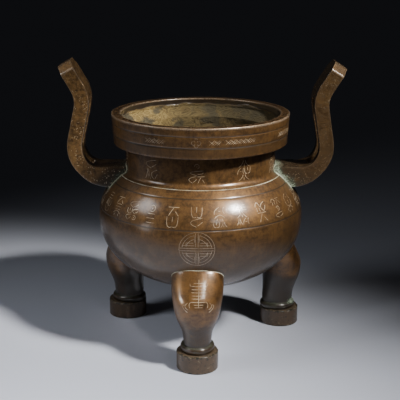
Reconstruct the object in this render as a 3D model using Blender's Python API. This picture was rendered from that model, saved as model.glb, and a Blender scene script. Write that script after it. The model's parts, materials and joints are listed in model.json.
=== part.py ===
"""A bronze tripod censer: a hollow bowl with a heavy rim, three cast legs and two upright loop handles.

Lengths are in millimetres and become metres as the meshes are made. The vessel's axis is vertical,
the front leg stands towards -Y and the handles stand on +X and -X.
"""
import math

import bmesh
import bpy

METRE = 0.001

# Bowl, from the floor up
FLOOR_CLEARANCE = 53.5
BELLY_DEPTH = 66.9
SHOULDER_HEIGHT = 40.5
NECK_HEIGHT = 28.5
BAND_HEIGHT = 27.6
BELLY_RADIUS = 95.5
NECK_FOOT_RADIUS = 74.6
NECK_RADIUS = 69.8
NECK_FILLET_HEIGHT = 7.0
BAND_RADIUS = 82.5
BAND_TAPER = 2.1
BAND_EDGE = 1.0
BOWL_WALL = 5.0
RIM_WALL = 8.7
LIP_DEPTH = 8.0
LIP_SLOPE_HEIGHT = 8.5
BELLY_FULLNESS = 2.24
SHOULDER_FULLNESS = 2.16

# Legs and feet
FOOT_RADIUS = 18.8
FOOT_HEIGHT = 16.5
FOOT_EDGE = 0.8
BEAD_HEIGHT = 6.5
LEG_CLIMB = 39.0
FRONT_LEG_INSET = 11.7
REAR_LEFT_LEG_INSET = 7.9
REAR_RIGHT_LEG_INSET = 12.6
FRONT_LEG_TURN = -1.9
REAR_LEFT_LEG_TURN = -2.2
REAR_RIGHT_LEG_TURN = -11.5
ANKLE_DEPTH = 15.5
ANKLE_WIDTH = 13.1
KNEE_DEPTH = 18.3
THIGH_WIDTH = 23.3

# Handles
RIM_TO_HANDLE = 19.9
HANDLE_THICKNESS = 13.3
HANDLE_ROOT_THICKNESS = 19.0
HANDLE_DEPTH = 34.0
HANDLE_EDGE = 0.9
ROOT_DROP = 2.4
ROOT_TAPER = 22.0
ROOT_START = 56.0
BEND_RADIUS = 28.2
BEND_TURN = 100.8
HANDLE_SWAY_ANGLE = 1.5
UPRIGHT_LENGTH = 29.9
FLARE_RADIUS = 27.7
FLARE_TURN = 41.8
TIP_LENGTH = 16.9
TIP_CHAMFER_RISE = 7.5
TIP_CHAMFER_RUN = 8.5
OPENING_WIDTH = 14.0
OPENING_START_TURN = 34.0
BRIDGE_HEIGHT = 29.5

CASTING_GAP = 0.3

# Fineness of the facets
BOWL_SIDES = 56
LEG_SIDES = 22
BELLY_STEPS = 9
SHOULDER_STEPS = 6
ROOT_STEPS = 3
BEND_STEPS = 9
UPRIGHT_STEPS = 2
FLARE_STEPS = 5
TIP_STEPS = 2

# Heights that follow from the sizes above
BELLY_LEVEL = FLOOR_CLEARANCE + BELLY_DEPTH
NECK_LEVEL = BELLY_LEVEL + SHOULDER_HEIGHT
BAND_LEVEL = NECK_LEVEL + NECK_HEIGHT
RIM_LEVEL = BAND_LEVEL + BAND_HEIGHT

# Each leg's name, the way it points from the axis and how far its foot stands from the axis
THIRD_OF_TURN = 120.0
FRONT_ANGLE = -90.0
LEGS = (
    ("front_leg", FRONT_ANGLE + FRONT_LEG_TURN, BELLY_RADIUS - FRONT_LEG_INSET),
    ("rear_left_leg", FRONT_ANGLE - THIRD_OF_TURN + REAR_LEFT_LEG_TURN, BELLY_RADIUS - REAR_LEFT_LEG_INSET),
    ("rear_right_leg", FRONT_ANGLE + THIRD_OF_TURN + REAR_RIGHT_LEG_TURN, BELLY_RADIUS - REAR_RIGHT_LEG_INSET),
)


def belly_curve(radius, depth, level, steps):
    """Points of the round underside, from the middle of the bottom out to the widest ring."""
    points = []
    for step in range(steps + 1):
        drop = math.cos(0.5 * math.pi * step / steps)
        points.append((radius * math.sqrt(1.0 - drop ** BELLY_FULLNESS), level - depth * drop))
    return points


def shoulder_curve(radius, neck_radius, level, height, steps):
    """Points of the shoulder, above the widest ring up to the foot of the neck."""
    points = []
    for step in range(1, steps + 1):
        rise = step / steps
        inward = (radius - neck_radius) * rise ** SHOULDER_FULLNESS
        points.append((radius - inward, level + height * rise))
    return points


def outer_outline():
    """The outside of the bowl and neck, up to the underside of the rim band."""
    points = belly_curve(BELLY_RADIUS, BELLY_DEPTH, BELLY_LEVEL, BELLY_STEPS)
    points += shoulder_curve(BELLY_RADIUS, NECK_FOOT_RADIUS, BELLY_LEVEL, SHOULDER_HEIGHT, SHOULDER_STEPS)
    flare = NECK_FOOT_RADIUS - NECK_RADIUS
    middle = 0.5
    points.append((NECK_RADIUS + flare * middle ** 3, NECK_LEVEL + NECK_FILLET_HEIGHT * middle))
    points.append((NECK_RADIUS, NECK_LEVEL + NECK_FILLET_HEIGHT))
    points.append((NECK_RADIUS, BAND_LEVEL))
    return points


def bowl_outline():
    """The whole turned outline: outside, rim band, mouth and inside, back to the axis."""
    band_foot = BAND_RADIUS - BAND_TAPER
    mouth = BAND_RADIUS - RIM_WALL
    neck_inside = NECK_RADIUS - BOWL_WALL
    points = outer_outline()
    points.append((band_foot - BAND_EDGE, BAND_LEVEL))
    points.append((band_foot, BAND_LEVEL + BAND_EDGE))
    points.append((BAND_RADIUS, RIM_LEVEL - BAND_EDGE))
    points.append((BAND_RADIUS - BAND_EDGE, RIM_LEVEL))
    points.append((mouth + BAND_EDGE, RIM_LEVEL))
    points.append((mouth, RIM_LEVEL - BAND_EDGE))
    points.append((mouth, RIM_LEVEL - LIP_DEPTH))
    points.append((neck_inside, RIM_LEVEL - LIP_DEPTH - LIP_SLOPE_HEIGHT))
    belly_inside = BELLY_RADIUS - BOWL_WALL
    depth_inside = BELLY_DEPTH - BOWL_WALL
    points += reversed(shoulder_curve(belly_inside, neck_inside, BELLY_LEVEL, SHOULDER_HEIGHT, SHOULDER_STEPS))
    points += reversed(belly_curve(belly_inside, depth_inside, BELLY_LEVEL, BELLY_STEPS))
    return points


def moved_outwards(outline, distance):
    """An outline that starts on the axis, moved outwards square to its own slope."""
    moved = []
    for index, (radius, height) in enumerate(outline):
        before = outline[max(index - 1, 0)]
        after = outline[min(index + 1, len(outline) - 1)]
        along = (after[0] - before[0], after[1] - before[1])
        length = math.hypot(*along)
        out = (along[1] / length, -along[0] / length)
        moved.append((radius + distance * out[0], height + distance * out[1]))
    moved[0] = (0.0, outline[0][1] - distance)
    return moved


def make_object(name, points, faces, material):
    """A mesh object from points in millimetres, with its faces turned outwards."""
    mesh = bpy.data.meshes.new(name)
    build = bmesh.new()
    corners = [build.verts.new([METRE * value for value in point]) for point in points]
    for face in faces:
        build.faces.new([corners[index] for index in face])
    bmesh.ops.recalc_face_normals(build, faces=build.faces)
    build.to_mesh(mesh)
    build.free()
    mesh.shade_smooth()
    mesh.set_sharp_from_angle(angle=math.radians(40.0))
    result = bpy.data.objects.new(name, mesh)
    bpy.context.scene.collection.objects.link(result)
    if material is not None:
        mesh.materials.append(material)
    return result


def turned(name, outline, sides, material=None):
    """A solid turned about the vertical axis. The outline starts and ends on the axis."""
    points = []
    rings = []
    for radius, height in outline:
        if radius < 1e-6:
            rings.append([len(points)])
            points.append((0.0, 0.0, height))
            continue
        ring = []
        for side in range(sides):
            angle = 2.0 * math.pi * side / sides
            ring.append(len(points))
            points.append((radius * math.cos(angle), radius * math.sin(angle), height))
        rings.append(ring)
    faces = []
    for lower, upper in zip(rings, rings[1:]):
        for side in range(sides):
            following = (side + 1) % sides
            if len(lower) == 1:
                faces.append((lower[0], upper[following], upper[side]))
            elif len(upper) == 1:
                faces.append((lower[side], lower[following], upper[0]))
            else:
                faces.append((lower[side], lower[following], upper[following], upper[side]))
    return make_object(name, points, faces, material)


def lofted(name, sections, material=None):
    """A closed solid through sections that all have the same number of corners."""
    count = len(sections[0])
    points = [point for section in sections for point in section]
    faces = [tuple(range(count)), tuple(range(len(points) - count, len(points)))]
    for level in range(len(sections) - 1):
        for side in range(count):
            start = level * count + side
            following = level * count + (side + 1) % count
            faces.append((start, following, following + count, start + count))
    return make_object(name, points, faces, material)


def leg_levels():
    """A leg's rings from the floor up: height, shift away from the axis, half depth, half width."""
    bead = FOOT_HEIGHT + BEAD_HEIGHT
    top = FLOOR_CLEARANCE + LEG_CLIMB
    ankle_shift = -0.14 * ANKLE_DEPTH
    rings = [
        (0.0, 0.0, FOOT_RADIUS - FOOT_EDGE, FOOT_RADIUS - FOOT_EDGE),
        (FOOT_EDGE, 0.0, FOOT_RADIUS, FOOT_RADIUS),
        (FOOT_HEIGHT - FOOT_EDGE, 0.0, FOOT_RADIUS, FOOT_RADIUS),
        (FOOT_HEIGHT, 0.0, FOOT_RADIUS - FOOT_EDGE, FOOT_RADIUS - FOOT_EDGE),
    ]
    for share, swell in ((0.02, 0.03), (0.2, 0.14), (0.5, 0.18), (0.8, 0.12), (0.98, -0.01)):
        level = FOOT_HEIGHT + share * BEAD_HEIGHT
        rings.append((level, ankle_shift, ANKLE_DEPTH * (1.0 + 0.7 * swell), ANKLE_WIDTH * (1.0 + swell)))
    # Above the bead: share of the height, shift as a share of the knee's half depth, half depth as a
    # share from ankle to knee, half width as a share from ankle to thigh
    shape = (
        (0.02, -0.12, -0.03, 0.0),
        (0.08, -0.12, 0.0, 0.0),
        (0.17, -0.08, 0.12, 0.09),
        (0.26, -0.02, 0.42, 0.31),
        (0.36, 0.04, 0.82, 0.57),
        (0.49, 0.10, 1.0, 0.77),
        (0.62, 0.08, 0.92, 0.90),
        (0.76, -0.05, 0.52, 0.99),
        (0.88, -0.19, 0.16, 1.0),
        (0.95, -0.25, -0.45, 0.90),
        (1.0, -0.27, -2.0, 0.40),
    )
    for share, shift, deepening, widening in shape:
        rings.append((
            bead + share * (top - bead),
            shift * KNEE_DEPTH,
            ANKLE_DEPTH + deepening * (KNEE_DEPTH - ANKLE_DEPTH),
            ANKLE_WIDTH + widening * (THIGH_WIDTH - ANKLE_WIDTH),
        ))
    return rings


def leg_reach():
    """How far a leg's knee stands out beyond the middle of its foot."""
    return max(shift + depth for _, shift, depth, _ in leg_levels())


def make_leg(name, direction, distance, material):
    """One cast leg with its foot, standing at a distance from the axis."""
    heading = math.radians(direction)
    outward = (math.cos(heading), math.sin(heading))
    sections = []
    for height, shift, half_depth, half_width in leg_levels():
        section = []
        for side in range(LEG_SIDES):
            angle = 2.0 * math.pi * side / LEG_SIDES
            away = distance + shift + half_depth * math.cos(angle)
            across = half_width * math.sin(angle)
            section.append((
                away * outward[0] - across * outward[1],
                away * outward[1] + across * outward[0],
                height,
            ))
        sections.append(section)
    return lofted(name, sections, material)


def bend_start():
    """Where the handle leaves its straight root, so that the upright clears the rim by the named gap."""
    past_upright = math.radians(BEND_TURN - 90.0)
    bend_back = BEND_RADIUS * (1.0 - math.cos(past_upright))
    upright_back = UPRIGHT_LENGTH * math.sin(past_upright)
    flare_back = FLARE_RADIUS * (1.0 - math.cos(past_upright))
    nearest = BAND_RADIUS + RIM_TO_HANDLE + 0.5 * HANDLE_THICKNESS
    return nearest - BEND_RADIUS + bend_back + upright_back + flare_back


def handle_path(side):
    """The handle's middle line, drawn at +X: distance along it, x, z and heading.

    Both handles sway a little towards +X, the right one outwards and the left one inwards.
    """
    x, z, heading, travelled = ROOT_START, NECK_LEVEL - ROOT_DROP, 0.0, 0.0
    path = [(travelled, x, z, heading)]

    def straight(length, steps):
        nonlocal x, z, travelled
        for _ in range(steps):
            x += length / steps * math.cos(heading)
            z += length / steps * math.sin(heading)
            travelled += length / steps
            path.append((travelled, x, z, heading))

    def arc(radius, turn, steps):
        nonlocal x, z, heading, travelled
        step = math.radians(turn) / steps
        chord = 2.0 * radius * math.sin(0.5 * abs(step))
        for _ in range(steps):
            heading += 0.5 * step
            x += chord * math.cos(heading)
            z += chord * math.sin(heading)
            heading += 0.5 * step
            travelled += radius * abs(step)
            path.append((travelled, x, z, heading))

    straight(bend_start() - ROOT_START, ROOT_STEPS)
    arc(BEND_RADIUS, BEND_TURN - side * HANDLE_SWAY_ANGLE, BEND_STEPS)
    straight(UPRIGHT_LENGTH, UPRIGHT_STEPS)
    arc(FLARE_RADIUS, -FLARE_TURN, FLARE_STEPS)
    straight(TIP_LENGTH, TIP_STEPS)
    straight(TIP_CHAMFER_RISE, 1)
    return path


def handle_section(station, half_thickness, half_depth, edge, side):
    """An oblong with bevelled corners, square to the handle's path."""
    _, x, z, heading = station
    normal = (-math.sin(heading), math.cos(heading))
    corners = []
    for across, along in ((1, 1), (-1, 1), (-1, -1), (1, -1)):
        first = (half_thickness, half_depth - edge)
        second = (half_thickness - edge, half_depth)
        if across * along < 0:
            first, second = second, first
        for offset, depth in (first, second):
            corners.append((
                side * (x + across * offset * normal[0]),
                along * depth,
                z + across * offset * normal[1],
            ))
    return corners


def handle_sections(side):
    """The loop's sections along its path, thick at the root and narrowing past the tip's shoulders."""
    path = handle_path(side)
    root_end = path[ROOT_STEPS][0]
    shoulder = path[-2][0]
    sections = []
    for station in path:
        rooted = 1.0 - min(max((station[0] - root_end) / ROOT_TAPER, 0.0), 1.0)
        thickness = HANDLE_THICKNESS + rooted * (HANDLE_ROOT_THICKNESS - HANDLE_THICKNESS)
        past = max(station[0] - shoulder, 0.0) / TIP_CHAMFER_RISE
        half_depth = 0.5 * HANDLE_DEPTH - past * TIP_CHAMFER_RUN
        sections.append(handle_section(station, 0.5 * thickness, half_depth, HANDLE_EDGE, side))
    return sections


def handle_reach(side):
    """How far a handle reaches out from the vessel's axis."""
    return max(side * corner[0] for section in handle_sections(side) for corner in section)


def make_opening_cutter(name, side):
    """The tool that opens the loop between its two uprights."""
    path = handle_path(side)
    first = path[ROOT_STEPS][0] + BEND_RADIUS * math.radians(OPENING_START_TURN)
    last = path[-1][0] - TIP_CHAMFER_RISE - BRIDGE_HEIGHT
    stations = [station for station in path if first < station[0] < last]
    stations = [between(path, first)] + stations + [between(path, last)]
    sections = [
        handle_section(station, HANDLE_THICKNESS, 0.5 * OPENING_WIDTH, HANDLE_EDGE, side)
        for station in stations
    ]
    cutter = lofted(name, sections)
    cutter.hide_render = True
    cutter.display_type = "WIRE"
    return cutter


def between(path, distance):
    """The place on a path at a distance along it."""
    for before, after in zip(path, path[1:]):
        if before[0] <= distance <= after[0]:
            share = (distance - before[0]) / (after[0] - before[0])
            return tuple(a + share * (b - a) for a, b in zip(before, after))
    return path[-1]


def cut(target, cutter):
    """Takes the cutter's shape out of the target."""
    modifier = target.modifiers.new("Cut by " + cutter.name, "BOOLEAN")
    modifier.operation = "DIFFERENCE"
    modifier.solver = "EXACT"
    modifier.object = cutter


def bronze(name, colour, roughness):
    """A patinated bronze."""
    material = bpy.data.materials.new(name)
    material.use_nodes = True
    shader = material.node_tree.nodes["Principled BSDF"]
    shader.inputs["Base Color"].default_value = (*colour, 1.0)
    shader.inputs["Roughness"].default_value = roughness
    shader.inputs["Metallic"].default_value = 0.75
    return material


def build_censer():
    for old in list(bpy.data.objects):
        bpy.data.objects.remove(old)

    # The origin is under the middle of the whole: front knee to back of belly, handle to handle
    _, front_direction, front_distance = LEGS[0]
    front_reach = (front_distance + leg_reach()) * -math.sin(math.radians(front_direction))
    centre = bpy.data.objects.new("vessel_axis", None)
    centre.location.x = METRE * 0.5 * (handle_reach(-1) - handle_reach(1))
    centre.location.y = METRE * 0.5 * (front_reach - BELLY_RADIUS)
    bpy.context.scene.collection.objects.link(centre)

    bowl = turned("bowl", bowl_outline(), BOWL_SIDES, bronze("bowl_bronze", (0.16, 0.09, 0.045), 0.38))
    clearance_outline = moved_outwards(outer_outline(), CASTING_GAP)
    clearance_outline.append((0.0, clearance_outline[-1][1]))
    clearance = turned("bowl_clearance", clearance_outline, BOWL_SIDES)
    clearance.hide_render = True
    clearance.display_type = "WIRE"
    pieces = [bowl, clearance]

    for name, direction, distance in LEGS:
        leg = make_leg(name, direction, distance, bronze(name + "_bronze", (0.18, 0.09, 0.035), 0.34))
        cut(leg, clearance)
        pieces.append(leg)

    for name, side in (("left_handle", -1), ("right_handle", 1)):
        finish = bronze(name + "_bronze", (0.17, 0.095, 0.045), 0.45)
        handle = lofted(name, handle_sections(side), finish)
        opening = make_opening_cutter(name + "_opening", side)
        cut(handle, clearance)
        cut(handle, opening)
        pieces += [handle, opening]

    for piece in pieces:
        piece.parent = centre


build_censer()
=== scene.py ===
"""The looks of a bronze tripod censer with silver wire inlay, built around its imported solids.

Shapes are worked out in millimetres from the vessel's turning axis, with the front leg towards -Y.
An azimuth is in degrees round that axis, from the front towards +X.
"""

import itertools
import json
import math
import random

import bmesh
import bpy
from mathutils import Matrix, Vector, noise


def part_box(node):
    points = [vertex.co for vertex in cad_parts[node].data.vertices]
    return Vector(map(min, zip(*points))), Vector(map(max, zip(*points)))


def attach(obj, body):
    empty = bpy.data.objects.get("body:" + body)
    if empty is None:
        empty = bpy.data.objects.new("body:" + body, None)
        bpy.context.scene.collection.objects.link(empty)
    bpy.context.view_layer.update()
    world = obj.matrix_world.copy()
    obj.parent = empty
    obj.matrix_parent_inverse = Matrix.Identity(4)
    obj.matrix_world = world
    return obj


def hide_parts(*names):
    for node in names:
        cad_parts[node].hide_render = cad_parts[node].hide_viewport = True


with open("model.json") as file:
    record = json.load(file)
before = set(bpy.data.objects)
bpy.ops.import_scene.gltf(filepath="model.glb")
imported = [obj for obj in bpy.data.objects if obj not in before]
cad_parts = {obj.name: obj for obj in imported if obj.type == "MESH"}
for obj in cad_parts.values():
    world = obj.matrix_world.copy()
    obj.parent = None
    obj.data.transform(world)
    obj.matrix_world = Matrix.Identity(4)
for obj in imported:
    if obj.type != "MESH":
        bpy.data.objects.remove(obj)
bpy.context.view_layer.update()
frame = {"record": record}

MM = 0.001
UP = Vector((0.0, 0.0, 1.0))

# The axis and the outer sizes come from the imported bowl
bowl_low, bowl_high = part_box("bowl")
AXIS = Vector((0.5 * (bowl_low.x + bowl_high.x), 0.5 * (bowl_low.y + bowl_high.y), 0.0))
BELLY_RADIUS = 0.5 * (bowl_high.x - bowl_low.x) / MM
FLOOR_CLEARANCE = bowl_low.z / MM
RIM_LEVEL = bowl_high.z / MM

# Bowl
BELLY_DEPTH = 66.9
SHOULDER_HEIGHT = 40.5
BAND_HEIGHT = 27.6
NECK_FOOT_RADIUS = 74.6
NECK_RADIUS = 69.8
NECK_FILLET_HEIGHT = 7.0
BAND_RADIUS = 82.5
BAND_TAPER = 2.1
BAND_EDGE = 1.0
BOWL_WALL = 5.0
RIM_WALL = 8.7
LIP_DEPTH = 8.0
LIP_SLOPE_HEIGHT = 8.5
BELLY_FULLNESS = 2.24
SHOULDER_FULLNESS = 2.16
BELLY_LEVEL = FLOOR_CLEARANCE + BELLY_DEPTH
NECK_LEVEL = BELLY_LEVEL + SHOULDER_HEIGHT
BAND_LEVEL = RIM_LEVEL - BAND_HEIGHT
NECK_CHAMFER = 0.4

# Legs
FOOT_RADIUS = 18.8
FOOT_HEIGHT = 16.5
FOOT_EDGE = 0.9
BEAD_HEIGHT = 6.5
BEAD_TOP = FOOT_HEIGHT + BEAD_HEIGHT
LEG_TOP = FLOOR_CLEARANCE + 39.0
ANKLE_DEPTH = 15.5
ANKLE_WIDTH = 13.1
ANKLE_SHIFT = 0.14 * ANKLE_DEPTH
BEAD_FLATNESS = 0.7
KNEE_DEPTH = 18.3
THIGH_WIDTH = 23.3

# Handles
RIM_TO_HANDLE = 19.9
HANDLE_THICKNESS = 13.3
HANDLE_ROOT_THICKNESS = 19.0
HANDLE_DEPTH = 34.0
HANDLE_EDGE = 0.55
ROOT_DROP = 2.4
ROOT_LEVEL = NECK_LEVEL - ROOT_DROP
ROOT_TAPER = 22.0
ROOT_LENGTH = 14.0
BEND_RADIUS = 28.2
BEND_TURN = 100.8
HANDLE_SWAY = 1.5
UPRIGHT_LENGTH = 29.9
FLARE_RADIUS = 27.7
FLARE_TURN = 41.8
TIP_LENGTH = 16.9
TIP_CHAMFER_RISE = 7.5
TIP_CHAMFER_RUN = 8.5
OPENING_WIDTH = 14.0
OPENING_START_TURN = 34.0
BRIDGE_HEIGHT = 29.5

# Incised lines round the vessel, and the depth that a joined piece is let into the bowl's wall
BAND_LINES = (199.2, 209.2)
BELLY_LINES = (130.2, 154.6)
LINE_WIDTH = 0.36
LINE_DEPTH = 0.16
# Across a line as a share of its width, and down as a share of its depth
LINE_SECTION = ((-1.0, 0.0), (-0.5, 0.7), (0.0, 1.0), (0.5, 0.7), (1.0, 0.0))
LET_IN = 1.0

# Silver
NECK_MARKS = 10
NECK_MARK_RISE = 14.2
NECK_MARK_SIZE = (14.5, 18.6)
BELLY_MARKS = 28
BELLY_MARK_WIDTHS = (11.8, 13.4)
BELLY_MARK_HEIGHT = 18.4
MARK_FORMS = 8
MARK_GAP = 0.45
MARK_INSET = 1.2
ROUNDEL_LEVEL = 113.8
ROUNDEL_RADIUS = 16.0
LADDER_LEVEL = 73.6
LADDER_SHIFT = 1.8
CHAIN_PITCH = 4.7
# The azimuth and the number of lozenges of each chain on the band's front, and where the rest go
FRONT_CHAINS = ((-29.2, 4), (8.4, 2), (25.2, 6))
CHAINS_FROM, CHAINS_TO = 58.0, 286.0
# Where the rows start: the neck's and the band's ornament, and the belly's
FRONT_AZIMUTH, BELLY_AZIMUTH = -2.6, -2.2
# How deep a wire's edges go into the bronze
WIRE_SINK = 0.14

# Fineness
BOWL_SIDES = 320
LEG_SIDES = 96
BELLY_RINGS = 60
BOTTOM_RINGS = 20
STATION_PITCH = 1.5
JOINT_SIDES = 6


def clamp(value, low=0.0, high=1.0):
    return max(low, min(high, value))


def step(low, high, value):
    """0 at low and 1 at high, with a soft turn at both ends. High may be under low."""
    share = clamp((value - low) / (high - low))
    return share * share * (3.0 - 2.0 * share)


def grain(point, size, seed=0.0):
    """Smooth noise from -1 to 1 with features of about that size in millimetres."""
    return noise.noise(Vector((point[0] / size + seed, point[1] / size, point[2] / size - seed)))


# The bowl's outside, which everything laid on it follows

def outer_radius(height):
    """The outside's radius, without lines and unevenness."""
    if height < FLOOR_CLEARANCE:
        return 0.0
    if height < BELLY_LEVEL:
        drop = (BELLY_LEVEL - height) / BELLY_DEPTH
        return BELLY_RADIUS * math.sqrt(max(0.0, 1.0 - drop ** BELLY_FULLNESS))
    if height < NECK_LEVEL:
        rise = (height - BELLY_LEVEL) / SHOULDER_HEIGHT
        return BELLY_RADIUS - (BELLY_RADIUS - NECK_FOOT_RADIUS) * rise ** SHOULDER_FULLNESS
    if height < BAND_LEVEL:
        left = clamp(1.0 - (height - NECK_LEVEL) / NECK_FILLET_HEIGHT)
        return NECK_RADIUS + (NECK_FOOT_RADIUS - NECK_RADIUS) * left ** 3
    return BAND_RADIUS - BAND_TAPER * (RIM_LEVEL - height) / BAND_HEIGHT


def wobble(point):
    """The unevenness of the hand-worked casting, inwards, in millimetres."""
    return 0.1 + 0.09 * grain(point, 46.0, 3.1) + 0.03 * grain(point, 17.0, 8.4)


def on_bowl(azimuth, height, lift=0.0):
    """A point over the bowl's outside, and the direction square to the surface there."""
    turn = math.radians(azimuth)
    around = Vector((math.sin(turn), -math.cos(turn), 0.0))
    near = 0.2
    slope = (outer_radius(height + near) - outer_radius(height - near)) / (2.0 * near)
    out = (around - UP * slope).normalized()
    place = around * outer_radius(height) + UP * height
    return place + out * (lift - wobble(place)), out


# Meshes

def give_masks(mesh, masks, sharp):
    """Stores masks at the vertices, and smooths the shading up to an angle in degrees."""
    for mask, values in masks.items():
        mesh.attributes.new(mask, "FLOAT", "POINT").data.foreach_set("value", values)
    mesh.shade_smooth()
    mesh.set_sharp_from_angle(angle=math.radians(sharp))


def make_piece(name, points, faces, finish, masks=None, sharp=40.0):
    """A mesh piece from points in millimetres, standing on the vessel's axis."""
    mesh = bpy.data.meshes.new(name)
    build = bmesh.new()
    corners = [build.verts.new([MM * value for value in point]) for point in points]
    for face in faces:
        build.faces.new([corners[index] for index in face])
    bmesh.ops.recalc_face_normals(build, faces=build.faces)
    build.to_mesh(mesh)
    build.free()
    give_masks(mesh, masks or {}, sharp)
    piece = bpy.data.objects.new(name, mesh)
    piece.location = AXIS
    mesh.materials.append(finish)
    bpy.context.scene.collection.objects.link(piece)
    return piece


def skin(rings, mesh=None, looped=False):
    """Adds a skin over closed rings of equally many points to a mesh's points and faces.

    The first and the last ring get a cap, or join each other where the rings are looped.
    """
    points, faces = mesh or ([], [])
    first, count = len(points), len(rings[0])
    for ring in rings:
        points.extend(ring)
    if not looped:
        faces += [range(first, first + count), range(len(points) - count, len(points))]
    for level in range(len(rings) - (not looped)):
        here = first + count * level
        there = first + count * ((level + 1) % len(rings))
        for side in range(count):
            following = (side + 1) % count
            faces.append((here + side, here + following, there + following, there + side))
    return points, faces


def band_edge(x, z, start):
    """A quarter turn of the band's rounded edge round a centre, without its first point."""
    return [
        (x + BAND_EDGE * math.cos(math.radians(angle)), z + BAND_EDGE * math.sin(math.radians(angle)))
        for angle in spaced(start, start + 90.0, 4)
    ]


def spaced(start, end, steps):
    """Even values from one number to another, without the first."""
    return [start + (end - start) * index / steps for index in range(1, steps + 1)]


def run(start, end, steps):
    """Points from one place to another, without the first."""
    return list(zip(*(spaced(a, b, steps) for a, b in zip(start, end))))


def with_lines(outline, heights):
    """The outline with a fine incised line at each height, in place of the plain points there."""
    margin = LINE_WIDTH + 0.1
    points = [point for point in outline if all(abs(point[1] - height) > margin for height in heights)]
    for height in heights:
        for offset, depth in LINE_SECTION:
            level = height + offset * LINE_WIDTH
            points.append((outer_radius(level) - depth * LINE_DEPTH, level))
    return sorted(points, key=lambda point: point[1])


def bowl_outlines():
    """The bowl's outside and band from the bottom up, and its inside from the rim down."""
    fillet_top = NECK_LEVEL + NECK_FILLET_HEIGHT
    levels = [
        BELLY_LEVEL - BELLY_DEPTH * math.cos(0.5 * math.pi * index / BELLY_RINGS)
        for index in range(1, BELLY_RINGS + 1)
    ]
    levels += spaced(BELLY_LEVEL, NECK_LEVEL, 30) + spaced(NECK_LEVEL, fillet_top, 8)
    outside = [(outer_radius(level), level) for level in levels]
    outside += run((NECK_RADIUS, fillet_top), (NECK_RADIUS, BAND_LEVEL - NECK_CHAMFER), 12)
    band_foot = outer_radius(BAND_LEVEL + BAND_EDGE)
    outside += run((NECK_RADIUS + NECK_CHAMFER, BAND_LEVEL), (band_foot - BAND_EDGE, BAND_LEVEL), 4)
    outside += band_edge(band_foot - BAND_EDGE, BAND_LEVEL + BAND_EDGE, -90.0)
    outside += run((band_foot, BAND_LEVEL + BAND_EDGE), (BAND_RADIUS, RIM_LEVEL - BAND_EDGE), 18)
    outside += band_edge(BAND_RADIUS - BAND_EDGE, RIM_LEVEL - BAND_EDGE, 0.0)
    outside = with_lines(outside, BELLY_LINES + BAND_LINES)

    mouth = BAND_RADIUS - RIM_WALL
    neck_inside = NECK_RADIUS - BOWL_WALL
    belly_inside = BELLY_RADIUS - BOWL_WALL
    lip_foot = (mouth, RIM_LEVEL - LIP_DEPTH)
    slope_foot = (neck_inside, lip_foot[1] - LIP_SLOPE_HEIGHT)
    inside = run((BAND_RADIUS - BAND_EDGE, RIM_LEVEL), (mouth + BAND_EDGE, RIM_LEVEL), 6)
    inside += band_edge(mouth + BAND_EDGE, RIM_LEVEL - BAND_EDGE, 90.0)
    inside += run((mouth, RIM_LEVEL - BAND_EDGE), lip_foot, 9)
    inside += run(lip_foot, slope_foot, 14)
    inside += run(slope_foot, (neck_inside, NECK_LEVEL), 34)
    for rise in spaced(1.0, 0.0, 14):
        radius = belly_inside - (belly_inside - neck_inside) * rise ** SHOULDER_FULLNESS
        inside.append((radius, BELLY_LEVEL + SHOULDER_HEIGHT * rise))
    for index in range(1, BOTTOM_RINGS):
        drop = math.sin(0.5 * math.pi * index / BOTTOM_RINGS)
        radius = belly_inside * math.sqrt(1.0 - drop ** BELLY_FULLNESS)
        inside.append((radius, BELLY_LEVEL - (BELLY_DEPTH - BOWL_WALL) * drop))
    return outside, inside


def crust_edge(azimuth):
    """The height that the ash crust reaches on the inside of the rim."""
    turn = math.radians(azimuth)
    place = (60.0 * math.sin(turn), 60.0 * math.cos(turn), 0.0)
    return RIM_LEVEL - 5.4 + 2.4 * grain(place, 26.0, 5.0) + 1.8 * grain(place, 8.0, 1.0)


def crust_thickness(point, azimuth):
    """How thick the burnt-on ash is at a point inside the bowl."""
    covered = step(0.0, 1.0, crust_edge(azimuth) - point[2])
    ridges = 1.0 - abs(grain((point[0], point[1], point[2] * 1.6), 12.0, 2.2)) * 2.0
    folds = 1.0 - abs(grain((point[0], point[1], point[2] * 2.0), 5.0, 7.7)) * 2.0
    lumps = grain(point, 17.0, 4.0)
    return covered * (0.9 + 0.45 * ridges + 0.12 * folds + 0.6 * lumps), covered


def painted_ash_shadow(point, azimuth):
    """Painted shadow on the ash, on the wall behind and to the right: how far it darkens the ash there."""
    edge = 176.0 - 1.5 * (RIM_LEVEL - 7.0 - point[2]) + 7.0 * grain(point, 9.0, 6.6)
    right_shadow = step(edge + 5.0, edge - 5.0, azimuth) * step(40.0, 75.0, azimuth)
    back_shadow = step(228.0, 190.0, azimuth + 12.0 * grain(point, 11.0, 2.9)) * step(100.0, 150.0, azimuth)
    return max(right_shadow, 0.72 * back_shadow)


def joint_mask(point):
    """How near a point of the bowl is to a handle's root, from 0 to 1."""
    across = abs(point[1]) - 0.5 * HANDLE_DEPTH
    below = abs(point[2] - ROOT_LEVEL) - 0.5 * HANDLE_ROOT_THICKNESS
    away = math.hypot(max(across, 0.0), max(below, 0.0))
    return step(8.0, 0.0, away)


def note(masks, **values):
    """Adds the next vertex's values to the masks."""
    for mask, value in values.items():
        masks.setdefault(mask, []).append(value)


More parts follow.
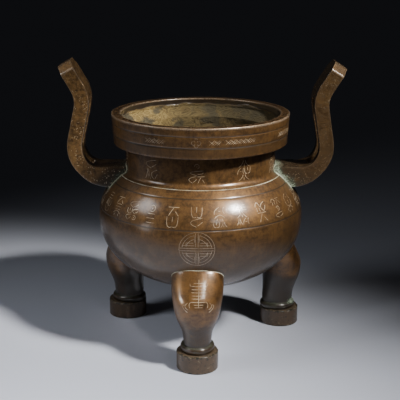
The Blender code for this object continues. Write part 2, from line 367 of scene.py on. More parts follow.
def outside_dirt_and_shade(radius, height):
    """Darkening of the bowl's outside: dirt in the incised lines, painted shade in the crease under the band
    and on the bowl's underside, a painted shadow on the band's lower tier, and the belly darker towards the
    bottom.
    """
    # Painted shade in the crease under the band.
    shade_under_band = step(1.2, 0.0, abs(height - BAND_LEVEL)) * (radius < NECK_RADIUS + 6.0)
    in_lines = step(0.6, 0.1, min(abs(height - line) for line in BELLY_LINES + BAND_LINES))
    # Painted shade on the bowl's underside, and the belly darker towards the bottom.
    shade_under_bowl = step(80.0, 60.0, height) * step(60.0, 30.0, radius)
    low_on_belly = step(142.0, 104.0, height)
    # Painted shadow on the band's lower tier.
    lower_tier_shadow = step(199.6, 198.4, height) * (height > BAND_LEVEL + 1.0)
    return 0.8 * shade_under_band + 0.9 * in_lines + 0.7 * shade_under_bowl + 0.54 * low_on_belly + 0.42 * lower_tier_shadow


def make_bowl(finish):
    """The bowl, with its grooves, its rim and the ash crust inside."""
    rings, masks = [], {}
    outside, inside = bowl_outlines()
    for number, (radius, height) in enumerate(outside + inside):
        is_outside = number < len(outside)
        # The outside's darkening: dirt, with painted shade and painted shadow.
        ring_dirt_and_shade = outside_dirt_and_shade(radius, height) if is_outside else 0.0
        to_edge = min(abs(radius - BAND_RADIUS), abs(radius - BAND_RADIUS + RIM_WALL))
        on_rim = height > RIM_LEVEL - 1.2 * BAND_EDGE
        ring = []
        for side in range(BOWL_SIDES):
            azimuth = 360.0 * side / BOWL_SIDES
            turn = math.radians(azimuth)
            place = Vector((radius * math.sin(turn), -radius * math.cos(turn), height))
            out = Vector((math.sin(turn), -math.cos(turn), 0.0))
            covered = stain = ash_shadow_here = 0.0
            dirt_and_shade = ring_dirt_and_shade
            if is_outside:
                if height <= BELLY_LEVEL:
                    out = on_bowl(azimuth, max(height, FLOOR_CLEARANCE + 0.5))[1]
                place -= out * wobble(place)
                if -16.0 < height - NECK_LEVEL < 14.0:
                    stain = joint_mask(place)
            elif height < RIM_LEVEL - BAND_EDGE:
                thick, covered = crust_thickness(place, azimuth)
                place -= out * thick
                # Inside, the bare bronze above the ash is darkened: its own dark patina, and painted shade
                # under the lip.
                dirt_and_shade = 1.2 * (1.0 - covered)
                # Painted shadow on the ash behind and to the right.
                ash_shadow_here = painted_ash_shadow(place, azimuth)
            dirt_and_shade += 0.5 * step(0.8, 2.5, to_edge) * on_rim
            worn = 0.45 * step(1.3, 0.4, to_edge) * on_rim
            ring.append(place)
            note(masks, grime=clamp(dirt_and_shade), crust=covered, verdigris=stain, soot=ash_shadow_here, edge=worn)
        rings.append(ring)
    return make_piece("turned_bowl", *skin(rings), finish, masks)


# Legs

# The bead at the ankle: share of its height, and its swell as a share of the ankle's half width
BEAD_PROFILE = (
    (0.02, 0.0), (0.1, 0.10), (0.28, 0.165), (0.5, 0.18), (0.72, 0.15), (0.9, 0.07), (0.99, -0.03),
)
# Above the bead: share of the height, shift as a share of the knee's half depth, half depth as a
# share from ankle to knee, half width as a share from ankle to thigh
LEG_PROFILE = (
    (0.02, -0.12, -0.12, -0.03),
    (0.08, -0.12, 0.0, 0.0),
    (0.17, -0.08, 0.12, 0.09),
    (0.26, -0.02, 0.42, 0.31),
    (0.36, 0.04, 0.82, 0.57),
    (0.49, 0.10, 1.0, 0.77),
    (0.62, 0.08, 0.92, 0.90),
    (0.76, -0.08, 0.40, 0.99),
    (0.88, -0.25, -0.05, 0.97),
    (0.955, -0.34, -0.60, 0.86),
    (0.985, -0.37, -0.90, 0.70),
    (1.0, -0.39, -1.20, 0.56),
)


def leg_shape():
    """A leg's rings above the foot: height, shift outwards, half depth, half width."""
    rings = [
        (
            FOOT_HEIGHT + share * BEAD_HEIGHT,
            -ANKLE_SHIFT,
            ANKLE_DEPTH * (1.0 + BEAD_FLATNESS * swell),
            ANKLE_WIDTH * (1.0 + swell),
        )
        for share, swell in BEAD_PROFILE
    ]
    return rings + [
        (
            BEAD_TOP + share * (LEG_TOP - BEAD_TOP),
            moved * KNEE_DEPTH,
            ANKLE_DEPTH + deepening * (KNEE_DEPTH - ANKLE_DEPTH),
            ANKLE_WIDTH + widening * (THIGH_WIDTH - ANKLE_WIDTH),
        )
        for share, moved, deepening, widening in LEG_PROFILE
    ]


LEG_SHAPE = leg_shape()


def smooth_between(rings, height):
    """The ring at a height, on smooth curves through the given rings."""
    last = len(rings) - 2
    index = 0
    while index < last and rings[index + 1][0] <= height:
        index += 1
    before, here, there, after = (rings[clamp(index + offset, 0, last + 1)] for offset in (-1, 0, 1, 2))
    span = there[0] - here[0]
    share = clamp((height - here[0]) / span)
    values = []
    for track in range(1, len(here)):
        rise_in = (there[track] - before[track]) / (there[0] - before[0]) * span
        rise_out = (after[track] - here[track]) / (after[0] - here[0]) * span
        values.append(
            here[track] * (2 * share ** 3 - 3 * share ** 2 + 1)
            + rise_in * (share ** 3 - 2 * share ** 2 + share)
            + there[track] * (3 * share ** 2 - 2 * share ** 3)
            + rise_out * (share ** 3 - share ** 2)
        )
    return values


class Leg:
    """Where one leg stands, from its foot's mount in the record."""

    def __init__(self, name):
        mount = next(row for row in frame["record"]["mounts"] if row["name"] == name.replace("leg", "foot"))
        foot = (Vector(mount["pos_m"]) - AXIS) / MM
        self.name = name
        self.distance = math.hypot(foot.x, foot.y)
        self.out = Vector((foot.x, foot.y, 0.0)).normalized()
        self.across = Vector((-self.out.y, self.out.x, 0.0))
        self.azimuth = math.degrees(math.atan2(foot.x, -foot.y))

    def place(self, height, turn):
        """A point of the leg's surface. The turn goes round the leg, from its outer side."""
        if height > FOOT_HEIGHT:
            shift, half_depth, half_width = smooth_between(LEG_SHAPE, height)
        else:
            edge = min(height, FOOT_HEIGHT - height, FOOT_EDGE)
            inset = FOOT_EDGE - math.sqrt(max(FOOT_EDGE ** 2 - (FOOT_EDGE - edge) ** 2, 0.0))
            shift, half_depth, half_width = 0.0, FOOT_RADIUS - inset, FOOT_RADIUS - inset
        away = self.distance + shift + half_depth * math.cos(turn)
        return self.out * away + self.across * (half_width * math.sin(turn)) + UP * height

    def over(self, height, turn, lift):
        """A point lifted square to the leg's surface, and that direction."""
        near = 0.02
        place = self.place(height, turn)
        along = self.place(height + 0.3, turn) - self.place(height - 0.3, turn)
        around = self.place(height, turn + near) - self.place(height, turn - near)
        out = around.cross(along).normalized()
        return place + out * (lift - leg_wobble(place)), out


def leg_wobble(place):
    """The unevenness of a leg's surface, inwards."""
    return 0.09 + 0.07 * grain(place, 14.0, 6.0)


LEGS = [Leg(name) for name in ("front_leg", "rear_left_leg", "rear_right_leg")]


def leg_heights():
    """The levels of a leg's rings, closer together at the foot's edges."""
    first = LEG_SHAPE[0][0]
    edge = (0.08, 0.3, 0.6)
    heights = [0.0, *edge, FOOT_EDGE] + spaced(FOOT_EDGE, FOOT_HEIGHT - FOOT_EDGE, 14)
    heights += [FOOT_HEIGHT - below for below in reversed(edge)] + [FOOT_HEIGHT, first]
    heights += spaced(first, BEAD_TOP + 4.0, 24) + spaced(BEAD_TOP + 4.0, LEG_TOP - 6.0, 44)
    return heights + spaced(LEG_TOP - 6.0, LEG_TOP, 16)


def make_leg(leg, finish, crusted):
    """One leg and its foot, let into the bowl's wall. A crusted leg has deposits round its ankle."""
    rings, masks = [], {}
    for height in leg_heights():
        on_foot = height <= FOOT_HEIGHT
        at_edge = step(3.0, 0.0, min(height, abs(FOOT_HEIGHT - height))) * on_foot
        in_groove = step(1.9, 0.5, abs(height - BEAD_TOP - 0.6))
        in_deposit = crusted * step(5.0, 1.0, abs(height - BEAD_TOP - 1.0))
        groove_depth = 0.35 * in_groove * (0.25 + 0.75 * crusted)
        lower = step(62.0, 36.0, height) * (not on_foot)
        shin_shade = 0.75 * step(75.0, 30.0, height) * (not on_foot)
        knee = step(42.0, 58.0, height) * step(88.0, 76.0, height)
        limit = outer_radius(height) - LET_IN
        ring = []
        for side in range(LEG_SIDES):
            turn = 2.0 * math.pi * side / LEG_SIDES
            if FOOT_EDGE < height:
                place, out = leg.over(height, turn, 0.0)
            else:
                place = leg.place(height, turn)
                out = leg.out * math.cos(turn) + leg.across * math.sin(turn)
            place -= out * (groove_depth * (0.5 + grain(place, 3.0, 9.0)))
            place -= out * (0.5 * at_edge * clamp(grain(place, 4.5, 2.0) * 2.2 - 0.5))
            reach = math.hypot(place.x, place.y)
            if reach < limit:
                place.x *= limit / reach
                place.y *= limit / reach
            ring.append(place)
            inner = step(-0.1, -0.9, math.cos(turn))
            soiled = crusted * lower * (0.5 + 0.6 * grain(place, 14.0, 4.4))
            fresh = in_deposit * step(-0.6, 0.6, math.cos(turn - 0.6))
            # The grime mask: deposit in the groove, painted shade on the shin's inner side, darker towards
            # the foot, and the crusted leg's deposits.
            note(
                masks,
                grime=clamp(in_groove + inner * shin_shade + 0.62 * lower + soiled),
                wear=knee * (1.0 - inner),
                verdigris=clamp(fresh * 1.1 + 0.3 * in_groove + 0.4 * (FOOT_HEIGHT < height < BEAD_TOP)),
                drum=float(height < FOOT_HEIGHT + 0.1),
                edge=at_edge,
            )
        rings.append(ring)
    return make_piece("cast_" + leg.name, *skin(rings), finish, masks)


# Handles

def handle_parts(side):
    """The lengths of the handle's middle line past its root, each with its bend, 1 over its radius."""
    return (
        (BEND_RADIUS * math.radians(BEND_TURN - side * HANDLE_SWAY), 1.0 / BEND_RADIUS),
        (UPRIGHT_LENGTH, 0.0),
        (FLARE_RADIUS * math.radians(FLARE_TURN), -1.0 / FLARE_RADIUS),
        (TIP_LENGTH + TIP_CHAMFER_RISE, 0.0),
    )


def handle_station(side, distance):
    """The handle's middle line at a distance past its root: x, z and heading, drawn at +X."""
    back = math.radians(BEND_TURN - 90.0)
    nearest = BAND_RADIUS + RIM_TO_HANDLE + 0.5 * HANDLE_THICKNESS
    lean = (BEND_RADIUS + FLARE_RADIUS) * (1.0 - math.cos(back)) + UPRIGHT_LENGTH * math.sin(back)
    x = nearest - BEND_RADIUS + lean
    z = ROOT_LEVEL
    heading = 0.0
    for length, bend in handle_parts(side):
        gone = min(distance, length)
        turned = heading + gone * bend
        if bend:
            x += (math.sin(turned) - math.sin(heading)) / bend
            z += (math.cos(heading) - math.cos(turned)) / bend
        else:
            x += gone * math.cos(heading)
            z += gone * math.sin(heading)
        heading = turned
        distance -= gone
        if distance <= 0.0:
            break
    return x, z, heading


def handle_length(side):
    """The length of a handle's middle line past its root."""
    return sum(length for length, _ in handle_parts(side))


def handle_point(side, distance, across, layer):
    """A point of the handle: along it, across its depth from -1 to 1, through it from -1 to 1."""
    x, z, heading = handle_station(side, max(distance, 0.0))
    rooted = 1.0 - clamp(distance / ROOT_TAPER)
    half = 0.5 * (HANDLE_THICKNESS + rooted * (HANDLE_ROOT_THICKNESS - HANDLE_THICKNESS))
    past = clamp((distance - handle_length(side) + TIP_CHAMFER_RISE) / TIP_CHAMFER_RISE)
    y = across * (0.5 * HANDLE_DEPTH - past * TIP_CHAMFER_RUN)
    x -= layer * half * math.sin(heading)
    z += layer * half * math.cos(heading)
    if distance < 0.0:
        wall = math.sqrt((outer_radius(z) - LET_IN) ** 2 - y ** 2)
        x += (x - wall) * distance / ROOT_LENGTH
    return Vector((side * x, y, z))


def block_skin(counts, kept, place):
    """The closed skin of a block of cells: only the faces between a kept cell and none."""
    corners, points, faces = {}, [], []

    def corner(key):
        if key not in corners:
            corners[key] = len(points)
            points.append(place(*key))
        return corners[key]

    sides = (
        ((-1, 0, 0), ((0, 0, 0), (0, 0, 1), (0, 1, 1), (0, 1, 0))),
        ((1, 0, 0), ((1, 0, 0), (1, 1, 0), (1, 1, 1), (1, 0, 1))),
        ((0, -1, 0), ((0, 0, 0), (1, 0, 0), (1, 0, 1), (0, 0, 1))),
        ((0, 1, 0), ((0, 1, 0), (0, 1, 1), (1, 1, 1), (1, 1, 0))),
        ((0, 0, -1), ((0, 0, 0), (0, 1, 0), (1, 1, 0), (1, 0, 0))),
        ((0, 0, 1), ((0, 0, 1), (1, 0, 1), (1, 1, 1), (0, 1, 1))),
    )
    cells = [cell for cell in itertools.product(*map(range, counts)) if kept(*cell)]
    filled = set(cells)
    for cell in cells:
        for neighbour, offsets in sides:
            if tuple(a + b for a, b in zip(cell, neighbour)) not in filled:
                faces.append([corner(tuple(a + b for a, b in zip(cell, offset))) for offset in offsets])
    return points, faces


def settle(piece):
    """Applies the piece's modifiers."""
    shaped = piece.evaluated_get(bpy.context.evaluated_depsgraph_get())
    mesh = bpy.data.meshes.new_from_object(shaped)
    piece.modifiers.clear()
    piece.data = mesh


def corner_turns(mesh):
    """At each vertex, the widest angle in degrees between its normal and a face that meets it."""
    turns = [0.0] * len(mesh.vertices)
    for face in mesh.polygons:
        for index in face.vertices:
            cosine = clamp(face.normal.dot(mesh.vertices[index].normal), -1.0, 1.0)
            turns[index] = max(turns[index], math.degrees(math.acos(cosine)))
    return turns


def make_handle(name, side, finish):
    """One handle with its opening and soft edges. The side is -1 on the left and 1 on the right."""
    total = handle_length(side)
    tip = total - TIP_CHAMFER_RISE
    opening = (BEND_RADIUS * math.radians(OPENING_START_TURN), tip - BRIDGE_HEIGHT)
    stations = [-ROOT_LENGTH] + spaced(-ROOT_LENGTH, 0.0, 8)
    stops = (0.0, *opening, tip, total)
    for start, end in zip(stops, stops[1:]):
        stations += spaced(start, end, max(1, round((end - start) / STATION_PITCH)))
    hole = OPENING_WIDTH / HANDLE_DEPTH
    columns = [-1.0] + spaced(-1.0, -hole, 6) + spaced(-hole, hole, 8) + spaced(hole, 1.0, 6)
    layers = [-1.0] + spaced(-1.0, 1.0, 7)

    def kept(i, j, _):
        beside = abs(0.5 * (columns[j] + columns[j + 1])) >= hole
        return beside or not opening[0] < 0.5 * (stations[i] + stations[i + 1]) < opening[1]

    points, faces = block_skin(
        (len(stations) - 1, len(columns) - 1, len(layers) - 1),
        kept,
        lambda i, j, k: handle_point(side, stations[i], columns[j], layers[k]),
    )
    piece = make_piece("cast_" + name, points, faces, finish)
    bevel = piece.modifiers.new("Softened edges", "BEVEL")
    bevel.width = HANDLE_EDGE * MM
    bevel.segments = 3
    bevel.limit_method = "ANGLE"
    bevel.angle_limit = math.radians(50.0)
    settle(piece)
    mesh = piece.data
    masks = {}
    turned = corner_turns(mesh)
    for vertex in mesh.vertices:
        place = vertex.co / MM
        uneven = 0.12 + 0.08 * grain(place, 9.0, 5.5) + 0.05 * grain(place, 3.0, 1.5)
        vertex.co -= vertex.normal * (uneven * MM)
        reach = math.hypot(place.x, place.y) - outer_radius(clamp(place.z, 150.0, BAND_LEVEL - 1.0))
        low = step(ROOT_LEVEL + 26.0, ROOT_LEVEL + 4.0, place.z)
        near = step(14.0, 0.0, reach + 4.0 * grain(place, 6.0, 3.0))
        inner = side < 0 and place.y < 0.0 and vertex.normal.x > 0.2
        # A painted highlight along the left handle's inner front edge, at these heights.
        inner_edge_glint = step(172.0, 186.0, place.z) * step(240.0, 226.0, place.z) * inner
        # Painted shadow low on the handle, near the bowl's wall, strongest on the left handle.
        root_shadow = low * step(34.0, 10.0, reach) * (0.7 if side < 0 else 0.15)
        # The grime mask takes that painted shadow and darkens the right handle all over; the edge mask is
        # wear with the painted highlight added.
        note(
            masks,
            grime=clamp(root_shadow + 0.53 * (side > 0)),
            verdigris=near * low * (1.15 if side > 0 else 0.8),
            pitted=clamp(0.35 + 0.65 * (side < 0) * step(252.0, 222.0, place.z)),
            edge=step(5.0, 12.0, turned[vertex.index]) * (0.3 + 0.7 * inner_edge_glint),
        )
    give_masks(mesh, masks, 60.0)
    return piece


# Strokes and wires laid on a surface

def curve(points, pitch=0.8):
    """A smooth stroke through two or three points, as even short steps."""
    if len(points) == 2:
        points = (points[0], tuple(0.5 * (a + b) for a, b in zip(*points)), points[1])
    start, middle, end = (Vector(point) for point in points)
    control = 2.0 * middle - 0.5 * (start + end)
    count = max(2, round(((middle - start).length + (end - middle).length) / pitch))
    made = []
    for index in range(count + 1):
        share = index / count
        made.append(
            start * (1 - share) ** 2 + control * (2 * share * (1 - share)) + end * share ** 2
        )
    return made


def arc(centre, radius, start, turn, pitch=0.8):
    """A round stroke. Angles are in degrees, from the right, turning up."""
    count = max(3, round(abs(math.radians(turn)) * radius / pitch))
    made = []
    for index in range(count + 1):
        angle = math.radians(start + turn * index / count)
        made.append(Vector((centre[0] + radius * math.cos(angle), centre[1] + radius * math.sin(angle))))
    return made


def polygonal(points, pitch=0.9):
    """A stroke with corners, cut into short straight strokes that meet."""
    return [curve((a, b), pitch) for a, b in zip(points, points[1:])]


def inlay(name, sites, finish, width, proud):
    """Flat wire laid along strokes. Each site is a placing function and its strokes in millimetres."""
    mesh = ([], [])
    section = ((-1.0, -WIRE_SINK), (-0.8, proud), (0.0, proud * 1.15), (0.8, proud), (1.0, -WIRE_SINK))
    for place, strokes in sites:
        for stroke in strokes:
            first = len(mesh[0])
            last = len(stroke) - 1
            rings = []
            for index, spot in enumerate(stroke):
                ahead = stroke[min(index + 1, last)] - stroke[max(index - 1, 0)]
                beside = Vector((-ahead.y, ahead.x)).normalized()
                if index in (0, last):
                    pinch = 0.55
                    outward = ahead.normalized() * (0.3 * width * (1 if index else -1))
                else:
                    pinch = 1.0 + 0.14 * math.sin(index * 1.7 + first)
                    outward = Vector((0.0, 0.0))
                across = [spot + outward + beside * (0.5 * width * pinch * share) for share, _ in section]
                rings.append([place(at.x, at.y, lift) for at, (_, lift) in zip(across, section)])
            skin(rings, mesh)
    return make_piece(name, *mesh, finish, sharp=70.0)


def bowl_site(azimuth, height):
    """Lays a flat drawing on the bowl, centred at an azimuth and a height."""
    radius = outer_radius(height)
    near = 1.0
    slope = (outer_radius(height + near) - outer_radius(height - near)) / (2.0 * near)
    upright = 1.0 / math.hypot(1.0, slope)

    def place(right, up, lift):
        return on_bowl(azimuth + math.degrees(right / radius), height + up * upright, lift)[0]

    return place


def leg_site(leg, height, shift):
    """Lays a flat drawing on the outer side of a leg, shifted to the right."""
    half_width = smooth_between(LEG_SHAPE, height)[2]

    def place(right, up, lift):
        return leg.over(height + up, (right + shift) / half_width, lift)[0]

    return place


def cell_strokes(kind, left, right, low, high, lean):
    """The strokes of one small form in a cell of a mark. None of the eight forms is a letter."""
    centre, middle = 0.5 * (left + right), 0.5 * (low + high)
    reach = right - left
    forms = (
        (
            ((left, middle + 0.4 * lean), (centre, high), (right, middle - 0.4 * lean)),
            ((left + 0.2 * reach, low), (left + 0.26 * reach, middle - 0.6)),
            ((right - 0.2 * reach, low), (right - 0.26 * reach, middle - 0.6)),
        ),
        (
            ((centre - 0.1 * reach, high), (left + 0.3 * reach, middle), (left, low)),
            ((centre + 0.1 * reach, high), (right - 0.3 * reach, middle), (right, low)),
            ((centre, middle), (centre + 0.3 * lean, low + 0.3)),
        ),
        [
            ((left + 0.08 * reach, level), (right - 0.08 * reach, level + 0.2 * lean))
            for level in (high + (low - high) * share for share in (0.0, 0.45, 0.9))
        ],
        (
            ((right, high), (left, middle + 0.5), (centre, low)),
            ((right, middle + 0.5), (right - 0.1 * reach, middle - 0.6), (centre + 0.6, low + 0.9)),
        ),
        (
            ((left, high), (left + 0.1 * reach, low + 0.8), (centre - 0.3, low)),
            ((right, high), (right - 0.1 * reach, low + 0.8), (centre + 0.5, low)),
            ((centre, high), (centre + 0.3 * lean, middle)),
        ),
        (
            ((left, low), (left + 0.1 * reach, middle + 0.3), (centre, high)),
            ((right, high), (right - 0.14 * reach, middle), (right, low)),
            ((centre - 0.6, middle - 0.3), (centre + 0.8, middle - 0.6)),
        ),
        (
            ((left, high - 0.3), (right, high + 0.2 * lean - 0.2)),
            ((centre, high - 0.9), (centre - 0.2 * reach, middle), (left + 0.1 * reach, low)),
            ((centre + 0.2 * reach, middle), (right, low + 0.2)),
        ),
        (
            ((centre, middle + 0.4), (centre + 0.2 * lean, middle - 0.6)),
        ),
    )
    strokes = [curve(points) for points in forms[kind]]
    if kind == len(forms) - 1:
        loop = arc((centre, middle), 0.36 * min(reach, high - low), 150.0 + 40.0 * lean, -250.0)
        strokes.insert(0, loop)
    return strokes


def plain_mark(draw, width, height):
    """One mark of an inscription's row: short strokes that stand for writing and aren't letters."""
    strokes = []
    tiers = draw.choice((2, 3, 3))
    cuts = [
        height * (tier / tiers - 0.5) + draw.uniform(-0.8, 0.8) * (0 < tier < tiers)
        for tier in range(tiers + 1)
    ]
    for low, high in zip(cuts, cuts[1:]):
        columns = draw.choice((1, 1, 2))
        margin = MARK_GAP + MARK_INSET * (columns == 1)
        for column in range(columns):
            left = width * (column / columns - 0.5) + margin
            right = width * ((column + 1) / columns - 0.5) - margin
            lean = draw.uniform(-0.8, 0.8)
            kind = draw.randrange(MARK_FORMS)
            strokes += cell_strokes(kind, left, right, low + MARK_GAP, high - MARK_GAP, lean)
    return strokes


def mirrored(stroke, side, up=1):
    """A stroke turned over from left to right, or upside down, where these are -1."""
    return [Vector((side * point[0], up * point[1])) for point in stroke]


def fret_roundel(radius):
    """A round fret ornament: a ring, a double cross and nested frets in its quarters."""
    ring = radius - 0.5
    half_gap = 1.15
    reach = math.sqrt((ring - 0.6) ** 2 - half_gap ** 2)
    strokes = [arc((0, 0), ring, 90.0, 360.0)]
    strokes += [curve(((-reach, level), (reach, level))) for level in (-half_gap, half_gap)]
    for side in (-1, 1):
        strokes.append(curve(((side * half_gap, half_gap + 1.3), (side * half_gap, reach - 0.3))))
        for inset, turn in ((3.4, 72.0), (6.6, 58.0)):
            bow = arc((0, 0), ring - inset + 0.8, 0.5 * (90.0 - turn), turn)
            low, high = bow[0], bow[-1]
            shelf = half_gap + inset * 0.75
            quarter = [bow] + polygonal(((low.x, low.y), (low.x, shelf), (high.x + 0.2, shelf)))
            if inset < 5.0:
                quarter.append(curve(((high.x, high.y), (high.x, shelf + 3.0))))
            strokes += [mirrored(stroke, side, up) for up in (1, -1) for stroke in quarter]
    for offset in (-1.3, 0.0, 1.3):
        strokes.append(curve(((offset, -half_gap - 1.3), (offset, -reach + 0.4))))
    return strokes


# The ladder's rungs, as their level and half length, and its hooks on the right
RUNGS = (
    (9.6, 4.4), (7.2, 6.6), (4.7, 6.0), (2.3, 6.2), (-0.2, 6.0), (-2.5, 6.2), (-5.2, 7.0), (-7.4, 4.2),
    (-9.6, 3.6),
)
HOOKS = (
    ((6.6, 7.2), (7.6, 7.8), (7.8, 9.2)),
    ((7.0, -5.2), (8.6, -7.4), (8.2, -10.2)),
    ((10.2, -6.2), (12.8, -9.4), (10.0, -12.0)),
    ((13.0, -8.0), (15.2, -10.4), (10.6, -14.6)),
)


def ladder():
    """The tall ladder ornament of a leg, drawn round its middle."""
    strokes = [curve(((0.0, 12.4), (0.0, -9.6)))]
    strokes += [curve(((-half, level), (half, level))) for level, half in RUNGS]
    return strokes + [curve(mirrored(hook, side)) for side in (-1, 1) for hook in HOOKS]


def quatrefoil():
    """A small four-lobed ornament."""
    return [
        arc((2.3 * right, 2.3 * up), 1.7, start, 270.0)
        for right, up, start in ((1, 0, -135.0), (0, 1, -45.0), (-1, 0, 45.0), (0, -1, 135.0))
    ]


def lozenge_chain(count):
    """A run of small interlaced lozenges."""
    half_height = 2.0
    strokes = []
    for index in range(count):
        left = (index - 0.5 * count) * CHAIN_PITCH
        right = left + CHAIN_PITCH
        for start, end in (
            ((left, -half_height), (right, half_height)),
            ((left, half_height), (right, -half_height)),
            ((left + 0.5 * CHAIN_PITCH, -half_height), (left + 1.2 * CHAIN_PITCH, 0.9)),
        ):
            strokes.append(curve((start, end), 1.4))
    return strokes


def make_inlay(finish, faded):
    """All the silver, from the rim down."""
    draw = random.Random(29)
    band_middle = 0.5 * sum(BAND_LINES)
    belly_middle = 0.5 * sum(BELLY_LINES) - 1.2
    chains = [(bowl_site(azimuth, band_middle), lozenge_chain(count)) for azimuth, count in FRONT_CHAINS]
    azimuth = CHAINS_FROM
    while azimuth < CHAINS_TO:
        count = draw.choice((2, 3, 3, 4, 6))
        width = math.degrees(count * CHAIN_PITCH / BAND_RADIUS)
        chains.append((bowl_site(azimuth + 0.5 * width, band_middle), lozenge_chain(count)))
        azimuth += width + draw.uniform(6.0, 14.0)
    neck_marks = []
    for index in range(NECK_MARKS):
        site = bowl_site(FRONT_AZIMUTH + 360.0 * index / NECK_MARKS, NECK_LEVEL + NECK_MARK_RISE)
        neck_marks.append((site, plain_mark(draw, *NECK_MARK_SIZE)))
    belly_marks = []
    for index in range(BELLY_MARKS):
        height = belly_middle + draw.uniform(-0.6, 0.6)
        site = bowl_site(BELLY_AZIMUTH + 360.0 * index / BELLY_MARKS + draw.uniform(-0.5, 0.5), height)
        belly_marks.append((site, plain_mark(draw, draw.uniform(*BELLY_MARK_WIDTHS), BELLY_MARK_HEIGHT)))
    roundels = [(bowl_site(leg.azimuth, ROUNDEL_LEVEL), fret_roundel(ROUNDEL_RADIUS)) for leg in LEGS]
    for third in range(3):
        roundels.append((bowl_site(120.0 * third + FRONT_AZIMUTH, band_middle), quatrefoil()))
    ladders = [(leg_site(leg, LADDER_LEVEL, LADDER_SHIFT), ladder()) for leg in LEGS]
    return [
        inlay("silver_band_chains", chains, finish, 0.4, 0.05),
        inlay("silver_neck_marks", neck_marks, finish, 0.5, 0.05),
        inlay("silver_belly_marks", belly_marks, finish, 0.56, 0.06),
        inlay("silver_roundels", roundels, faded, 0.46, 0.04),
        inlay("silver_leg_ladders", ladders, finish, 0.52, 0.05),
    ]


# Pale corrosion that fills the joints

def leg_joint(leg, steps=120, halvings=24):
    """The closed line in which a leg's surface meets the bowl's, found by halving at each step."""
    path = []
    for index in range(steps):
        turn = 2.0 * math.pi * index / steps
        low, high = FLOOR_CLEARANCE + 2.0, LEG_TOP
        for _ in range(halvings):
            height = 0.5 * (low + high)
            place = leg.place(height, turn)
            if math.hypot(place.x, place.y) > outer_radius(height):
                low = height
            else:
                high = height
        path.append(leg.place(low, turn))
    return path


def joint_paths():
    """Closed paths round the joints: the foot of the neck, the handles' roots and the legs' tops."""
    paths = [[on_bowl(azimuth, NECK_LEVEL)[0] for azimuth in range(360)]]
    half_y, half_z = 0.5 * HANDLE_DEPTH + 0.1, 0.5 * HANDLE_ROOT_THICKNESS + 0.1
    corners = [(y * half_y, ROOT_LEVEL + z * half_z) for y, z in ((-1, -1), (1, -1), (1, 1), (-1, 1))]
    outline = []
    for index, corner in enumerate(corners):
        outline += run(corners[index - 1], corner, 24)
    for side in (-1, 1):
        paths.append([Vector((side * math.sqrt(outer_radius(z) ** 2 - y ** 2), y, z)) for y, z in outline])
    return paths + [leg_joint(leg) for leg in LEGS]


def make_joint_filling(finish):
    """Uneven beads of pale corrosion along the joints."""
    mesh = ([], [])
    angles = [2.0 * math.pi * side / JOINT_SIDES for side in range(JOINT_SIDES)]
    for path in joint_paths():
        rings = []
        for index, spot in enumerate(path):
            ahead = (path[(index + 1) % len(path)] - path[index - 1]).normalized()
            thick = max(0.31 + 0.24 * grain(spot, 6.0, 4.0) + 0.14 * grain(spot, 1.8, 2.0), 0.12)
            reference = UP if abs(ahead.z) < 0.9 else Vector((1.0, 0.0, 0.0))
            one = ahead.cross(reference).normalized()
            other = ahead.cross(one)
            rings.append([spot + (one * math.cos(a) + other * math.sin(a)) * thick for a in angles])
        skin(rings, mesh, looped=True)
    return make_piece("joint_corrosion", *mesh, finish, sharp=80.0)


# Finishes

class Field:
    """A shader value that varies over a surface. Python's operators on it add Math nodes."""

    def __init__(self, finish, socket):
        self.finish = finish
        self.socket = socket

    def worked(self, operation, first, second):
        return self.finish.node("ShaderNodeMath", {"operation": operation}, {0: first, 1: second})

    def __add__(self, other):
        return self.worked("ADD", self, other)

    def __radd__(self, other):
        return self.worked("ADD", other, self)

    def __sub__(self, other):
        return self.worked("SUBTRACT", self, other)

    def __rsub__(self, other):
        return self.worked("SUBTRACT", other, self)

    def __mul__(self, other):
        return self.worked("MULTIPLY", self, other)

    def __rmul__(self, other):
        return self.worked("MULTIPLY", other, self)


